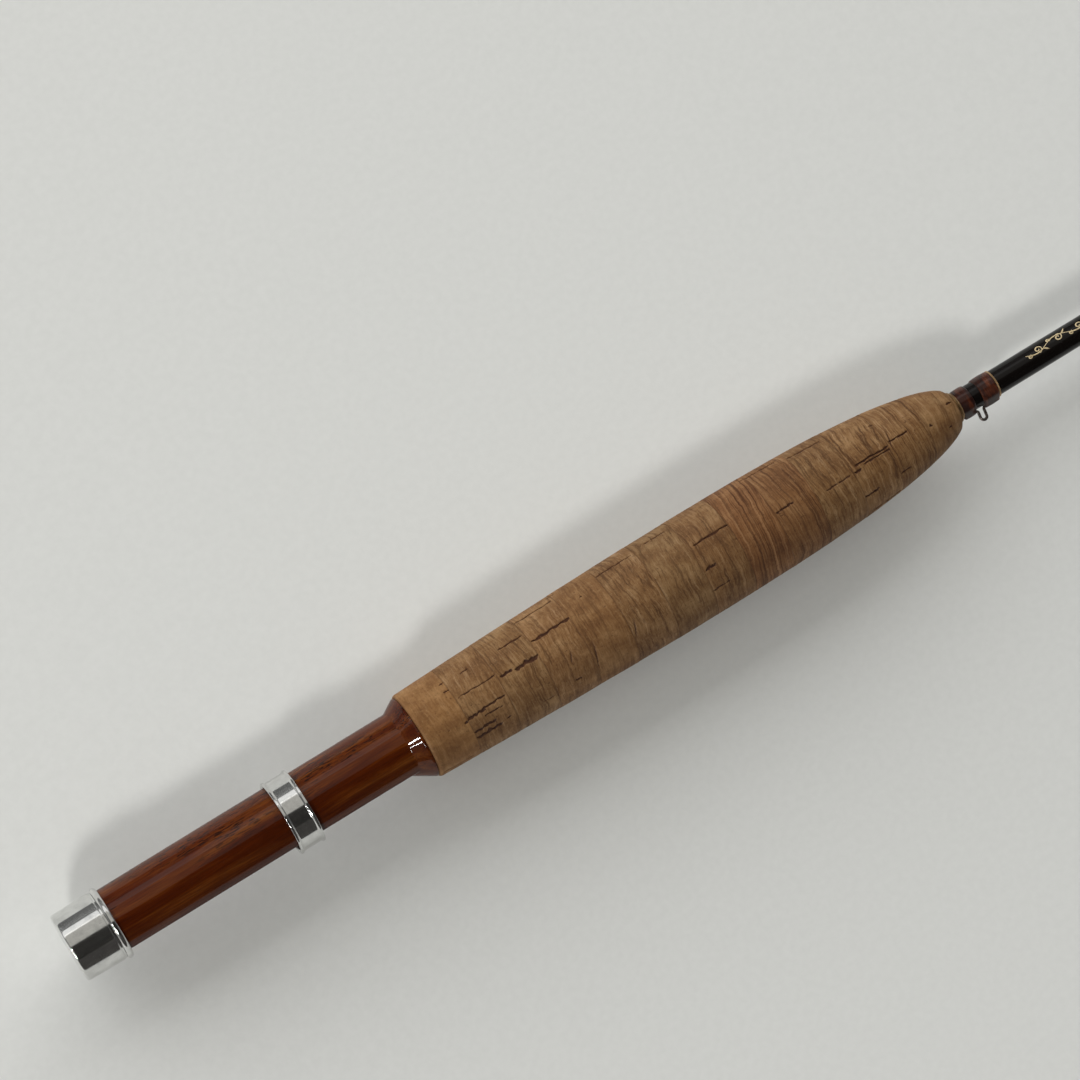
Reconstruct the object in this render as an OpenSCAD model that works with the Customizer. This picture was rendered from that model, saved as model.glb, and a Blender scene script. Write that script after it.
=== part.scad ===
// Two-piece trout fly rod with a cap-and-band reel seat and a cork grip.
// The rod's axis is +X from the butt, +Z is up, and the origin is the centre of the butt cap's end face.
// The rod lies on its side: its guides and the flat for the reel's foot point to -Y.
// Sub-parts are drawn along their own z axis, with their guide side towards +x, and along_rod() lays them down.

/* [Rod] */
// Length from the butt cap to the tip of the tip section, mm
rod_len = 2134; // [2080:1:2200]
// Blank diameter where it leaves the grip, mm
blank_d = 7.2; // [6.8:0.1:7.4]
// Blank diameter at the ferrule, mm
ferrule_d = 5; // [4.6:0.1:5.4]
// Blank diameter at the tip, mm
tip_d = 1.8; // [1.6:0.1:2.2]

/* [Reel seat] */
// Diameter of the wooden barrel at the butt cap, mm
barrel_d = 17.9; // [17.6:0.1:18]
// Diameter of the wooden barrel at its flare, mm
barrel_front_d = 18.4; // [18:0.1:18.6]
// Distance from the rod's axis to the flat where the reel's foot lies, mm
flat_height = 8.05; // [7.6:0.05:8.4]
// Length of the butt cap, mm
cap_len = 13.3; // [12:0.1:15]
// Distance from the butt to the grip, mm
seat_len = 102.8; // [98:0.1:110]
// Distance from the butt to the sliding band, mm
band_at = 62.3; // [50:0.1:70]
// Width of the sliding band, mm
band_w = 7.1; // [6:0.1:8]

/* [Grip] */
// Number of cork rings
cork_count = 14; // [14:1:14]
// Thickness of a cork ring, mm
cork_t = 12; // [11.8:0.1:12.2]
// Largest diameter of the grip, mm
grip_d = 27.8; // [26:0.1:29]
// Diameter of the grip's rear end, mm
grip_rear_d = 24.1; // [23.6:0.1:25]

/* [Line guides] */
// Number of snake guides
snake_count = 7; // [7:1:7]
// Distance from the tip to the nearest guide, mm
first_spacing = 114; // [110:1:118]
// Growth of the guide spacing from one guide to the next, mm
spacing_step = 19; // [18.5:0.1:19.5]
// Outer diameter of the stripping guide's frame, mm
stripper_d = 10.2; // [10:0.1:10.6]
// Bore of the stripping guide's ring, mm
stripper_bore = 7.2; // [7:0.1:7.6]
// Height of the stripping guide's ring above the blank, mm
stripper_rise = 7.6; // [7:0.1:8]

/* [Hidden] */
$fn = 96;
gap = 0.02;                 // glue line between pieces that are bonded
grip_at = seat_len;
grip_len = cork_count * cork_t;
grip_end = grip_at + grip_len;
nose_r = 4.4;               // radius of the grip's front face
grip_peak = 0.5;            // share of the grip's length behind its thickest place
rear_power = 1.6;
front_power = 2.8;
front_root = 0.55;

blank_start = 1.6;
ferrule_at = rod_len / 2;
ferrule_gap = 4;            // length of spigot that shows between the two sections
butt_end = ferrule_at - ferrule_gap / 2;
tip_start = ferrule_at + ferrule_gap / 2;
butt_taper = (blank_d - ferrule_d) / 2 / (ferrule_at - grip_end);
tip_taper = (ferrule_d - tip_d) / 2 / (rod_len - ferrule_at);
butt_wall = 0.85;
tip_wall = 0.45;
spigot_fit = 0.03;
spigot_inside = 55;
spigot_outside = 48;

barrel_at = 1;
barrel_bore = 5;
cap_wall = 0.46;
cap_end_t = 0.9;
flare_run = 5.6;            // length of the flare's cone, measured from the flat
flare_at = seat_len - 0.6 - flare_run;
flare_r = 11.4;
band_bore = 9.55;
band_land = 10;
band_lip = 10.46;

check_t = 0.6;
check_r = 4.45;
trim_w = 0.45;
keeper_rear_at = grip_end + check_t + trim_w;
keeper_rear_len = 3.9;
keeper_gap = 2.5;
keeper_front_at = keeper_rear_at + keeper_rear_len + keeper_gap;
keeper_front_len = 5;
keeper_trim_at = keeper_front_at + keeper_front_len;
keeper_wire = 0.4;
keeper_rise = 3.4;
keeper_half = 0.92;
coat_at = 292;
coat_len = 84;
coat_t = 0.2;

thread_t = 0.3;             // thread and varnish over the blank
snake_wire = 0.45;
strut_r = 0.5;
stripper_index = snake_count + 1;
ferrule_wrap_len = 18;
tip_tube_len = 12;
tip_tube_r = 1.35;
tip_loop_r = 2.1;
tip_wire = 0.42;
tip_wrap_len = 7;

CORKS = ["cork_ring_01", "cork_ring_02", "cork_ring_03", "cork_ring_04", "cork_ring_05",
         "cork_ring_06", "cork_ring_07", "cork_ring_08", "cork_ring_09", "cork_ring_10",
         "cork_ring_11", "cork_ring_12", "cork_ring_13", "cork_ring_14"];
SNAKES = ["snake_guide_1", "snake_guide_2", "snake_guide_3", "snake_guide_4",
          "snake_guide_5", "snake_guide_6", "snake_guide_7"];
SNAKE_WRAPS = ["snake_wraps_1", "snake_wraps_2", "snake_wraps_3", "snake_wraps_4",
               "snake_wraps_5", "snake_wraps_6", "snake_wraps_7"];

// ---- shapes and rules that repeat ----

module along_rod() rotate([-90, 0, 0]) rotate([0, 90, 0]) children();

// Outer radius of the blank at a distance z from the butt
function blank_r(z) = z < ferrule_at
    ? blank_d / 2 + butt_taper * (grip_end - z)
    : ferrule_d / 2 - tip_taper * (z - ferrule_at);

// Outer radius of the grip at a distance z from the butt
function grip_r(z) =
    let (share = (z - grip_at) / grip_len,
         back = (grip_peak - share) / grip_peak,
         front = (share - grip_peak) / (1 - grip_peak))
    share < grip_peak
        ? grip_d / 2 - (grip_d - grip_rear_d) / 2 * pow(max(back, 0), rear_power)
        : nose_r + (grip_d / 2 - nose_r) * pow(max(1 - pow(front, front_power), 0), front_root);

// Distance of a guide from the butt; guide 1 is the nearest to the tip
function guide_at(k) = rod_len - first_spacing * k - spacing_step * k * (k - 1) / 2;

function unit(v) = v / norm(v);
function heading(path, i) = unit(path[min(i + 1, len(path) - 1)] - path[max(i - 1, 0)]);

// A round wire swept along a path; side is a direction that the path never runs in
module wire(path, r, side, sides = 8) {
    last = len(path) - 1;
    points = [for (i = [0:last])
        let (t = heading(path, i), u = unit(cross(t, side)), v = cross(u, t))
        for (k = [0:sides - 1]) path[i] + r * (cos(360 * k / sides) * u + sin(360 * k / sides) * v)];
    walls = [for (i = [0:last - 1]) for (k = [0:sides - 1])
        let (a = i * sides + k, b = i * sides + (k + 1) % sides)
        for (face = [[a, b, b + sides], [a, b + sides, a + sides]]) face];
    start_cap = [[for (k = [sides - 1:-1:0]) k]];
    end_cap = [[for (k = [0:sides - 1]) last * sides + k]];
    polyhedron(points, concat(start_cap, walls, end_cap));
}

// A straight round bar between two points
module strut(p, q, r) {
    d = q - p;
    translate(p)
        rotate([0, acos(d.z / norm(d)), atan2(d.y, d.x)])
            cylinder(h = norm(d), r = r);
}

// The outside of a ring that stands t proud of the blank from z0 to z1, with softened ends
module sleeve_form(z0, z1, t, soft) {
    ends = min(soft, (z1 - z0) / 3);
    rotate_extrude()
        polygon([[0, z0], [blank_r(z0) + 0.4 * t, z0], [blank_r(z0) + t, z0 + ends],
                 [blank_r(z1) + t, z1 - ends], [blank_r(z1) + 0.4 * t, z1], [0, z1]]);
}

// The blank from z0 to z1, with the glue line round it
module blank_hole(z0, z1) {
    translate([0, 0, z0 - 1])
        cylinder(h = z1 - z0 + 2, r1 = blank_r(z0 - 1) + gap, r2 = blank_r(z1 + 1) + gap);
}

module sleeve(z0, z1, t, soft = 0.5)
    difference() {
        sleeve_form(z0, z1, t, soft);
        blank_hole(z0, z1);
    }

// Thread bound over a guide's foot, which lies on the blank's guide side
module foot_wrap(z0, z1, foot_r) {
    foot_x = blank_r(z0) + foot_r + 0.04;
    top = foot_x + foot_r + 0.8 * thread_t;
    w = foot_r + 0.8 * thread_t;
    channel_w = 2 * (foot_r + gap);
    difference() {
        union() {
            sleeve_form(z0, z1, thread_t, 0.5);
            translate([0, 0, z0 + 0.3])
                linear_extrude(z1 - z0 - 0.6)
                    polygon([[0, -w], [foot_x + 0.6 * foot_r, -w], [top, -0.6 * w],
                             [top, 0.6 * w], [foot_x + 0.6 * foot_r, w], [0, w]]);
        }
        blank_hole(z0, z1);
        translate([0, -channel_w / 2, z0 - 1])
            cube([foot_x + foot_r + gap, channel_w, z1 - z0 + 2]);
    }
}

// ---- reel seat ----

module butt_cap() {
    cap_r = barrel_d / 2 + 3 * gap + cap_wall;
    mouth_r = cap_r + 0.12;
    bead_r = 0.9;
    bead_at = cap_len - bead_r;
    bore = barrel_d / 2 + 3 * gap;
    bead = [for (a = [-90:15:90]) [mouth_r - 0.4 + bead_r * cos(a), bead_at + bead_r * sin(a)]];
    color("gainsboro")
        rotate_extrude()
            polygon(concat([[0, 0], [cap_r - 0.45, 0], [cap_r - 0.13, 0.13], [cap_r, 0.45],
                            [mouth_r - 0.02, bead_at - bead_r - 0.8], [mouth_r - 0.22, bead_at - bead_r - 0.5],
                            [mouth_r - 0.22, bead_at - bead_r]],
                           bead,
                           [[bore, cap_len], [bore, cap_end_t], [0, cap_end_t]]));
}

module slide_band() {
    half = band_w / 2;
    side = [[band_bore + 0.2, half], [band_lip - 0.15, half], [band_lip, half - 0.15],
            [band_lip, half - 0.45], [band_lip - 0.3, half - 0.8], [band_land, half - 1.05]];
    other = [for (i = [len(side) - 1:-1:0]) [side[i].x, -side[i].y]];
    color("silver")
        translate([0, 0, band_at + half])
            rotate_extrude()
                polygon(concat(side, other, [[band_bore, -half + 0.5], [band_bore, half - 0.5]]));
}

// The turned barrel: a flat for the reel's foot, and a flare that meets the grip
module seat_barrel() {
    flat_end = flare_at + 0.4;
    color("saddlebrown")
        difference() {
            union() {
                difference() {
                    translate([0, 0, barrel_at])
                        cylinder(h = seat_len - gap - barrel_at, r1 = barrel_d / 2, r2 = barrel_front_d / 2);
                    translate([flat_height, -barrel_d, barrel_at - 1])
                        cube([barrel_d, 2 * barrel_d, flat_end - barrel_at + 1]);
                }
                translate([0, 0, flare_at])
                    cylinder(h = flare_run, r1 = flat_height - 0.05, r2 = flare_r);
                translate([0, 0, flare_at + flare_run])
                    cylinder(h = seat_len - gap - flare_at - flare_run, r = flare_r + 0.1);
            }
            translate([0, 0, barrel_at - 1])
                cylinder(h = seat_len + 2, r = barrel_bore);
        }
}

module seat_arbors() {
    arbor_len = 14;
    color("tan")
        for (z = [8, 45, 82])
            difference() {
                translate([0, 0, z])
                    cylinder(h = arbor_len, r = barrel_bore - gap);
                translate([0, 0, z - 1])
                    cylinder(h = arbor_len + 2, r = blank_r(z - 1) + gap);
            }
}

// ---- grip ----

module cork_ring(i) {
    z0 = grip_at + i * cork_t;
    z1 = z0 + cork_t;
    steps = 10;
    soft = i == 0 ? 0.35 : 0;
    outline = [for (s = [0:steps]) let (z = z0 + cork_t * s / steps) [grip_r(z) - (s == 0 ? soft : 0), z]];
    bore = blank_r(z0) + gap;
    color(i % 2 ? "burlywood" : "tan")
        rotate_extrude()
            polygon(concat([[bore, z0]], outline, [[bore, z1]]));
}

module winding_check() {
    color("darkgoldenrod")
        difference() {
            translate([0, 0, grip_end])
                cylinder(h = check_t, r1 = check_r, r2 = check_r - 0.25);
            translate([0, 0, grip_end - 1])
                cylinder(h = check_t + 2, r = blank_r(grip_end - 1) + gap);
        }
}

// ---- blanks and ferrule ----

module tube(z0, z1, wall) {
    difference() {
        translate([0, 0, z0])
            cylinder(h = z1 - z0, r1 = blank_r(z0), r2 = blank_r(z1));
        translate([0, 0, z0 - 1])
            cylinder(h = z1 - z0 + 2, r1 = blank_r(z0 - 1) - wall, r2 = blank_r(z1 + 1) - wall);
    }
}

module butt_blank() color("black") tube(blank_start, butt_end, butt_wall);

// The tip section's wall is the butt section's at the ferrule, and thins to tip_wall over the spigot's length
module tip_blank() {
    mouth = tip_start + spigot_outside + 4;
    color("black") {
        difference() {
            translate([0, 0, tip_start])
                cylinder(h = rod_len - tip_start, r1 = blank_r(tip_start), r2 = blank_r(rod_len));
            translate([0, 0, tip_start - 1])
                cylinder(h = mouth - tip_start + 1, r1 = spigot_r(tip_start - 1) + spigot_fit,
                         r2 = spigot_r(mouth) + spigot_fit);
            translate([0, 0, mouth - 0.1])
                cylinder(h = rod_len - mouth + 1, r1 = blank_r(mouth) - butt_wall,
                         r2 = blank_r(rod_len) - tip_wall);
        }
    }
}

function spigot_r(z) = blank_r(butt_end) - butt_wall - 0.01 - 0.0015 * (z - butt_end);

module spigot() {
    z0 = butt_end - spigot_inside;
    z1 = tip_start + spigot_outside;
    bond = 0.05;
    color("dimgray") {
        translate([0, 0, z0])
            cylinder(h = butt_end - z0, r = spigot_r(butt_end) - bond);
        translate([0, 0, butt_end])
            cylinder(h = z1 - butt_end, r1 = spigot_r(butt_end), r2 = spigot_r(z1));
    }
}

module clear_coat() color("black") sleeve(coat_at, coat_at + coat_len, coat_t, 2);

// ---- hook keeper ----

module hook_keeper() {
    foot_x = blank_r(keeper_rear_at) + keeper_wire + 0.04;
    mid = keeper_rear_at + keeper_rear_len + keeper_gap / 2;
    top = blank_r(mid) + keeper_rise - keeper_half;
    lean = -0.25;
    bend = 0.5;
    foot_reach = keeper_gap / 2 + 2.6;
    rear_bend = [for (a = [0:30:90])
        [foot_x + bend * (1 - cos(a)), 0, mid - keeper_half - bend + bend * sin(a)]];
    crown = [for (a = [180:-20:0])
        [top + keeper_half * sin(a), 0, mid + lean + keeper_half * cos(a)]];
    front_bend = [for (a = [90:-30:0])
        [foot_x + bend * (1 - cos(a)), 0, mid + keeper_half + bend - bend * sin(a)]];
    path = concat([[foot_x, 0, mid - foot_reach]], rear_bend, crown, front_bend,
                  [[foot_x, 0, mid + foot_reach]]);
    color("dimgray") wire(path, keeper_wire, [0, 1, 0]);
}

module keeper_wrap_rear()
    color("brown") foot_wrap(keeper_rear_at, keeper_rear_at + keeper_rear_len, keeper_wire);

module keeper_wrap_front()
    color("brown") foot_wrap(keeper_front_at, keeper_front_at + keeper_front_len, keeper_wire);

module trim(z) sleeve(z, z + trim_w, thread_t, 0.15);

module keeper_trims()
    color("gold") {
        trim(keeper_rear_at - trim_w);
        trim(keeper_trim_at);
    }

// ---- snake guides: a wire that rises from one foot, crosses over the line and lands on the other ----

function snake_half(k) = 4 + 0.25 * k;
function snake_width(k) = 1.9 + 0.12 * k;
function snake_rise(k) = 3.2 + 0.22 * k;
function snake_foot(k) = 6 + 0.3 * k;
function snake_foot_r(k) = snake_wire * (0.8 + 0.03 * k);

module snake_guide(k) {
    z = guide_at(k);
    r = snake_foot_r(k);
    base = blank_r(z - snake_half(k) - snake_foot(k)) + r + 0.04;
    far_base = blank_r(z + snake_half(k)) + r + 0.04;
    steps = 24;
    loop = [for (s = [0:steps]) let (t = 2 * s / steps - 1, lift = (1 + cos(180 * t)) / 2)
        [base + (far_base - base) * s / steps + snake_rise(k) * lift,
         -snake_width(k) * sin(180 * t),
         z + snake_half(k) * t]];
    feet_out = snake_half(k) + snake_foot(k);
    path = concat([[base, 0, z - feet_out]], loop, [[far_base, 0, z + feet_out]]);
    color("dimgray") wire(path, r, [1, 0, 0]);
}

module snake_wraps(k) {
    z = guide_at(k);
    reach = snake_half(k) + snake_foot(k) + 1.5;
    color("brown") for (end = [[z - reach, z - snake_half(k) - 0.2], [z + snake_half(k) + 0.2, z + reach]])
        foot_wrap(end[0], end[1], snake_foot_r(k));
}

module snake_trims(k) {
    z = guide_at(k);
    reach = snake_half(k) + snake_foot(k) + 1.5;
    trim(z - reach - trim_w - 0.05);
    trim(z + reach + 0.05);
}

module butt_guide_trims()
    color("gold") {
        snake_trims(snake_count);
        for (end = [stripper_z - stripper_reach - trim_w - 0.05, stripper_z + stripper_reach + 0.05])
            trim(end);
    }

module tip_guide_trims() color("gold") for (k = [1:snake_count - 1]) snake_trims(k);

// ---- stripping guide: a wire frame on two feet, round a hard ring ----

stripper_z = guide_at(stripper_index);
stripper_foot = 9;
stripper_leg = 8;
stripper_reach = stripper_leg + stripper_foot + 1.2;
stripper_frame_t = 1.5;
wrap_clear = 0.8;           // distance from the leg's root to the wrap

module stripping_guide_frame() {
    centre = blank_r(stripper_z) + stripper_rise;
    leg_end_r = stripper_d / 2 - 0.15;
    knee_out = 0.5;
    color("dimgray") {
        difference() {
            translate([centre, 0, stripper_z - stripper_frame_t / 2])
                cylinder(h = stripper_frame_t, d = stripper_d);
            translate([centre, 0, stripper_z - stripper_frame_t])
                cylinder(h = 2 * stripper_frame_t, d = stripper_d - 1.4 + gap);
        }
        for (way = [-1, 1]) {
            base = blank_r(way < 0 ? stripper_z - stripper_reach : stripper_z + stripper_leg + wrap_clear)
                + strut_r + 0.04;
            translate([base, 0, stripper_z + (way > 0 ? stripper_leg - knee_out : -stripper_leg - stripper_foot)])
                cylinder(h = stripper_foot + knee_out, r = strut_r);
            for (side = [-50, 50])
                strut([base, 0, stripper_z + way * stripper_leg],
                      [centre - leg_end_r * cos(side), leg_end_r * sin(side), stripper_z + way * 0.2], strut_r * 0.7);
        }
    }
}

module stripping_guide_ring() {
    ring_t = 1.7;
    centre = blank_r(stripper_z) + stripper_rise;
    edge = 0.25;
    outer = stripper_d / 2 - 0.7 - gap;
    color("black")
        translate([centre, 0, stripper_z - ring_t / 2])
            rotate_extrude()
                polygon([[stripper_bore / 2, edge], [stripper_bore / 2 + edge, 0], [outer, 0],
                         [outer, ring_t], [stripper_bore / 2 + edge, ring_t], [stripper_bore / 2, ring_t - edge]]);
}

module stripping_guide_wraps()
    color("brown")
        for (end = [[stripper_z - stripper_reach, stripper_z - stripper_leg - wrap_clear],
                    [stripper_z + stripper_leg + wrap_clear, stripper_z + stripper_reach]])
            foot_wrap(end[0], end[1], strut_r);

// ---- ferrule wraps ----

module butt_ferrule_wrap() color("brown") sleeve(butt_end - ferrule_wrap_len, butt_end - 0.6, thread_t);
module tip_ferrule_wrap() color("brown") sleeve(tip_start + 0.6, tip_start + ferrule_wrap_len, thread_t);
module butt_ferrule_trims() color("gold") trim(butt_end - ferrule_wrap_len - trim_w - 0.05);
module tip_ferrule_trims() color("gold") trim(tip_start + ferrule_wrap_len + 0.05);

// ---- tip-top ----

tip_loop_x = tip_tube_r + tip_loop_r + tip_wire + 0.1;

module tip_top_tube() {
    z0 = rod_len - tip_tube_len;
    color("dimgray") {
        difference() {
            translate([0, 0, z0])
                cylinder(h = tip_tube_len + 0.8, r = tip_tube_r);
            translate([0, 0, z0 - 1])
                cylinder(h = tip_tube_len + 1, r = blank_r(z0) + gap);
        }
    }
}

// The loop that the line leaves by, with two braces back to the tube
module tip_top_loop() {
    rake = 15;
    brace_root = rod_len - 6;
    brace_wire = tip_wire * 0.75;
    brace_off = tip_tube_r + brace_wire + 0.01;
    color("dimgray") {
        translate([tip_loop_x, 0, rod_len + 0.9])
            rotate([0, -rake, 0])
                rotate_extrude()
                    translate([tip_loop_r, 0])
                        circle(r = tip_wire, $fn = 32);
        for (side = [-1, 1])
            strut([brace_off * 0.62, side * brace_off * 0.784, brace_root],
                  [tip_loop_x + 0.1, side * tip_loop_r, rod_len + 0.9], brace_wire);
    }
}

module tip_top_wrap() color("brown") sleeve(rod_len - tip_tube_len - tip_wrap_len, rod_len - tip_tube_len - 0.1, thread_t);
module tip_top_trim() color("gold") trim(rod_len - tip_tube_len - tip_wrap_len - trim_w - 0.05);

// ---- nodes ----

along_rod() butt_cap();
along_rod() slide_band();
along_rod() seat_barrel();
along_rod() seat_arbors();
for (i = [0:cork_count - 1])
    along_rod() cork_ring(i);
along_rod() winding_check();
along_rod() butt_blank();
along_rod() hook_keeper();
along_rod() keeper_wrap_rear();
along_rod() keeper_wrap_front();
along_rod() keeper_trims();
along_rod() clear_coat();
along_rod() stripping_guide_frame();
along_rod() stripping_guide_ring();
along_rod() stripping_guide_wraps();
along_rod() butt_guide_trims();
along_rod() spigot();
along_rod() butt_ferrule_wrap();
along_rod() butt_ferrule_trims();
for (n = [1:snake_count]) {
    along_rod() snake_guide(snake_count + 1 - n);
    along_rod() snake_wraps(snake_count + 1 - n);
}
along_rod() tip_blank();
along_rod() tip_ferrule_wrap();
along_rod() tip_ferrule_trims();
along_rod() tip_guide_trims();
along_rod() tip_top_tube();
along_rod() tip_top_loop();
along_rod() tip_top_wrap();
along_rod() tip_top_trim();
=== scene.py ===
"""Looks of a two-section trout fly rod that lies on a pale table.

The rod's axis is +X from the butt. A place on it is given by x, by an angle round the axis that
is 0 on the side of the line guides and 90 degrees on the side that faces the camera, and by a
radius. All of these are in metres and radians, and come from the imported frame.
"""
import math
import random

import bmesh
import bpy
import numpy as np
from mathutils import Matrix, Vector


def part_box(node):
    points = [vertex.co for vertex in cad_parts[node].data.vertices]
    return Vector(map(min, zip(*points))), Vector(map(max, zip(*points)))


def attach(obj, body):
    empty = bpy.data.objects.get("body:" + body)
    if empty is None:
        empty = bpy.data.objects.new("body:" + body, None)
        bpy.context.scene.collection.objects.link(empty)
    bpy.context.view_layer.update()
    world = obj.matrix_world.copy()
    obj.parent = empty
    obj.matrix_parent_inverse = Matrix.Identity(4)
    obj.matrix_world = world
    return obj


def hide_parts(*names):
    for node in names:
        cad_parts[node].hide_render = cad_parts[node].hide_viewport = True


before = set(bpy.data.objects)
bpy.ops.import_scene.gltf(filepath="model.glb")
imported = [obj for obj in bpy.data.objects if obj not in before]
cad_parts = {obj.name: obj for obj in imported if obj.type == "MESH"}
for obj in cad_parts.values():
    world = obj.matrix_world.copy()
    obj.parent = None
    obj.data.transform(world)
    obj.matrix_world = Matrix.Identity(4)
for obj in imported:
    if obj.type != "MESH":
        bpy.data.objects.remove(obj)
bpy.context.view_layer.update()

MM = 0.001
AXIS = Vector((1, 0, 0))
BUTT, TIP = "butt_section", "tip_section"


# ---- what the frame says ----

def node_points(node):
    """A CAD node's vertices, as an array."""
    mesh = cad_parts[node].data
    flat = np.empty(len(mesh.vertices) * 3)
    mesh.vertices.foreach_get("co", flat)
    return flat.reshape(-1, 3)


def centre_of(node):
    low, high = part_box(node)
    return (low + high) / 2


def ends_of(node):
    """Where the node starts and ends along the rod."""
    low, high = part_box(node)
    return low.x, high.x


ring_centre = centre_of("stripping_guide_ring")
GUIDE = Vector((0, ring_centre.y, ring_centre.z)).normalized()
FACING = GUIDE.cross(AXIS)


def radii(points):
    return np.hypot(points[:, 1], points[:, 2])


def towards(direction, points):
    """How far each point stands off the rod's axis in a direction across the rod."""
    return points[:, 1] * direction.y + points[:, 2] * direction.z


def outer_radius(node, x):
    """The outer radius of a turned CAD node at x, between the places where it has vertices."""
    points = node_points(node)
    places = points[:, 0].round(6)
    r = radii(points)
    stations = np.unique(places)
    tops = [r[places == s].max() for s in stations]
    return np.interp(x, stations, tops)


def blank_end_radii(node):
    points = node_points(node)
    r = radii(points)
    low, high = points[:, 0].min(), points[:, 0].max()
    return [(low, r[points[:, 0] < low + MM].max()), (high, r[points[:, 0] > high - MM].max())]


BLANK = blank_end_radii("butt_blank") + blank_end_radii("tip_blank")


def blank_r(x):
    return np.interp(x, [p[0] for p in BLANK], [p[1] for p in BLANK])


def islands(node):
    """(start, end) along the rod of each separate solid in a CAD node."""
    mesh = bmesh.new()
    mesh.from_mesh(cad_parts[node].data)
    bmesh.ops.remove_doubles(mesh, verts=mesh.verts, dist=1e-6)
    left, found = set(mesh.verts), []
    while left:
        todo, xs = [left.pop()], []
        while todo:
            vert = todo.pop()
            xs.append(vert.co.x)
            for edge in vert.link_edges:
                other = edge.other_vert(vert)
                if other in left:
                    left.remove(other)
                    todo.append(other)
        found.append((min(xs), max(xs)))
    mesh.free()
    return sorted(found)


# ---- meshes ----

def on_rod(x, angle, r):
    """Points on the rod, as an array whose last axis is x, y, z."""
    across, facing = r * np.cos(angle), r * np.sin(angle)
    x = np.broadcast_to(x, np.shape(across))
    return np.stack([x, across * GUIDE.y + facing * FACING.y, across * GUIDE.z + facing * FACING.z], -1)


def add_object(name, data):
    thing = bpy.data.objects.new(name, data)
    bpy.context.scene.collection.objects.link(thing)
    return thing


def finish_piece(piece, body, nodes, slot, material=None):
    """Hands a piece to its body, in place of the CAD nodes, with the slot's own look or another."""
    piece.data.materials.append(material or LOOKS[slot])
    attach(piece, body)
    if nodes:
        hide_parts(*nodes)


def shade_smooth(mesh, sharp_angle):
    mesh.polygons.foreach_set("use_smooth", [True] * len(mesh.polygons))
    mesh.set_sharp_from_angle(angle=math.radians(sharp_angle))


def object_from(name, points, faces, sharp_angle=35, merge=False):
    mesh = bpy.data.meshes.new(name)
    mesh.from_pydata([tuple(p) for p in points], [], [tuple(f) for f in faces])
    if merge:
        merged = bmesh.new()
        merged.from_mesh(mesh)
        bmesh.ops.remove_doubles(merged, verts=merged.verts, dist=1e-8)
        merged.to_mesh(mesh)
        merged.free()
    shade_smooth(mesh, sharp_angle)
    mesh.validate()
    return add_object(name, mesh)


def grid_faces(rows, columns, closed):
    r = np.arange(rows if closed else rows - 1)[:, None]
    c = np.arange(columns)[None, :]
    here, ahead = r * columns, (r + 1) % rows * columns
    beside = (c + 1) % columns
    return np.stack([here + c, ahead + c, ahead + beside, here + beside], -1).reshape(-1, 4)


def skin(name, points, closed=True, sharp_angle=35):
    """A surface from rows of points that run round the rod. The outside runs towards the tip."""
    rows, columns, _ = points.shape
    faces = grid_faces(rows, columns, closed)
    return object_from(name, points.reshape(-1, 3), faces, sharp_angle, merge=not closed)


def full_turn(count):
    return np.linspace(0, 2 * math.pi, count, endpoint=False)


def revolved(outline, segments, centre=(0, 0, 0)):
    """Points of an outline of (x, r) turned about an axis that runs along the rod through centre."""
    x, r = np.array(outline).T[:, :, None]
    angles = full_turn(segments)[None, :]
    return on_rod(x, angles, r + 0 * angles) + np.array(centre)


def turn(name, outline, segments):
    """A turned piece from a closed outline of (x, r), or one that starts and ends at r = 0."""
    return skin(name, revolved(outline, segments), closed=outline[0][1] > 0)


def rounded(outline, fillet, steps=4):
    """The outline with each corner rounded. A third number in a corner is its own fillet."""
    out = []
    for i, corner in enumerate(outline):
        p = Vector(corner[:2])
        reach = corner[2] if len(corner) > 2 else fillet
        before, after = Vector(outline[i - 1][:2]) - p, Vector(outline[(i + 1) % len(outline)][:2]) - p
        if reach == 0 or p.y == 0:
            out.append((p.x, p.y))
            continue
        start = p + before.normalized() * min(reach, before.length * 0.45)
        end = p + after.normalized() * min(reach, after.length * 0.45)
        for t in np.linspace(0, 1, steps + 1):
            point = start * (1 - t) ** 2 + p * (2 * t * (1 - t)) + end * t ** 2
            out.append((point.x, point.y))
    return out


def sweep(name, path, widths, heights, up, sides=14):
    """A round or oval wire along a path. widths and heights are half sizes at each point, and
    heights run along the direction nearest to up."""
    path = [Vector(p) for p in path]
    points = []
    for i, p in enumerate(path):
        along = (path[min(i + 1, len(path) - 1)] - path[max(i - 1, 0)]).normalized()
        side = along.cross(Vector(up[i])).normalized()
        rise = side.cross(along)
        for k in range(sides):
            a = -2 * math.pi * k / sides
            points.append(p + side * (widths[i] * math.cos(a)) + rise * (heights[i] * math.sin(a)))
    faces = [tuple(f) for f in grid_faces(len(path), sides, closed=False)]
    faces.append(tuple(range(sides)))
    faces.append(tuple(reversed(range((len(path) - 1) * sides, len(path) * sides))))
    return object_from(name, points, faces, sharp_angle=50)


def joined(name, parts):
    """One piece from several meshes."""
    whole = bmesh.new()
    for part in parts:
        whole.from_mesh(part.data)
    mesh = bpy.data.meshes.new(name)
    whole.to_mesh(mesh)
    whole.free()
    for part in parts:
        bpy.data.objects.remove(part)
    shade_smooth(mesh, 45)
    return add_object(name, mesh)


# ---- material nodes ----

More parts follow.
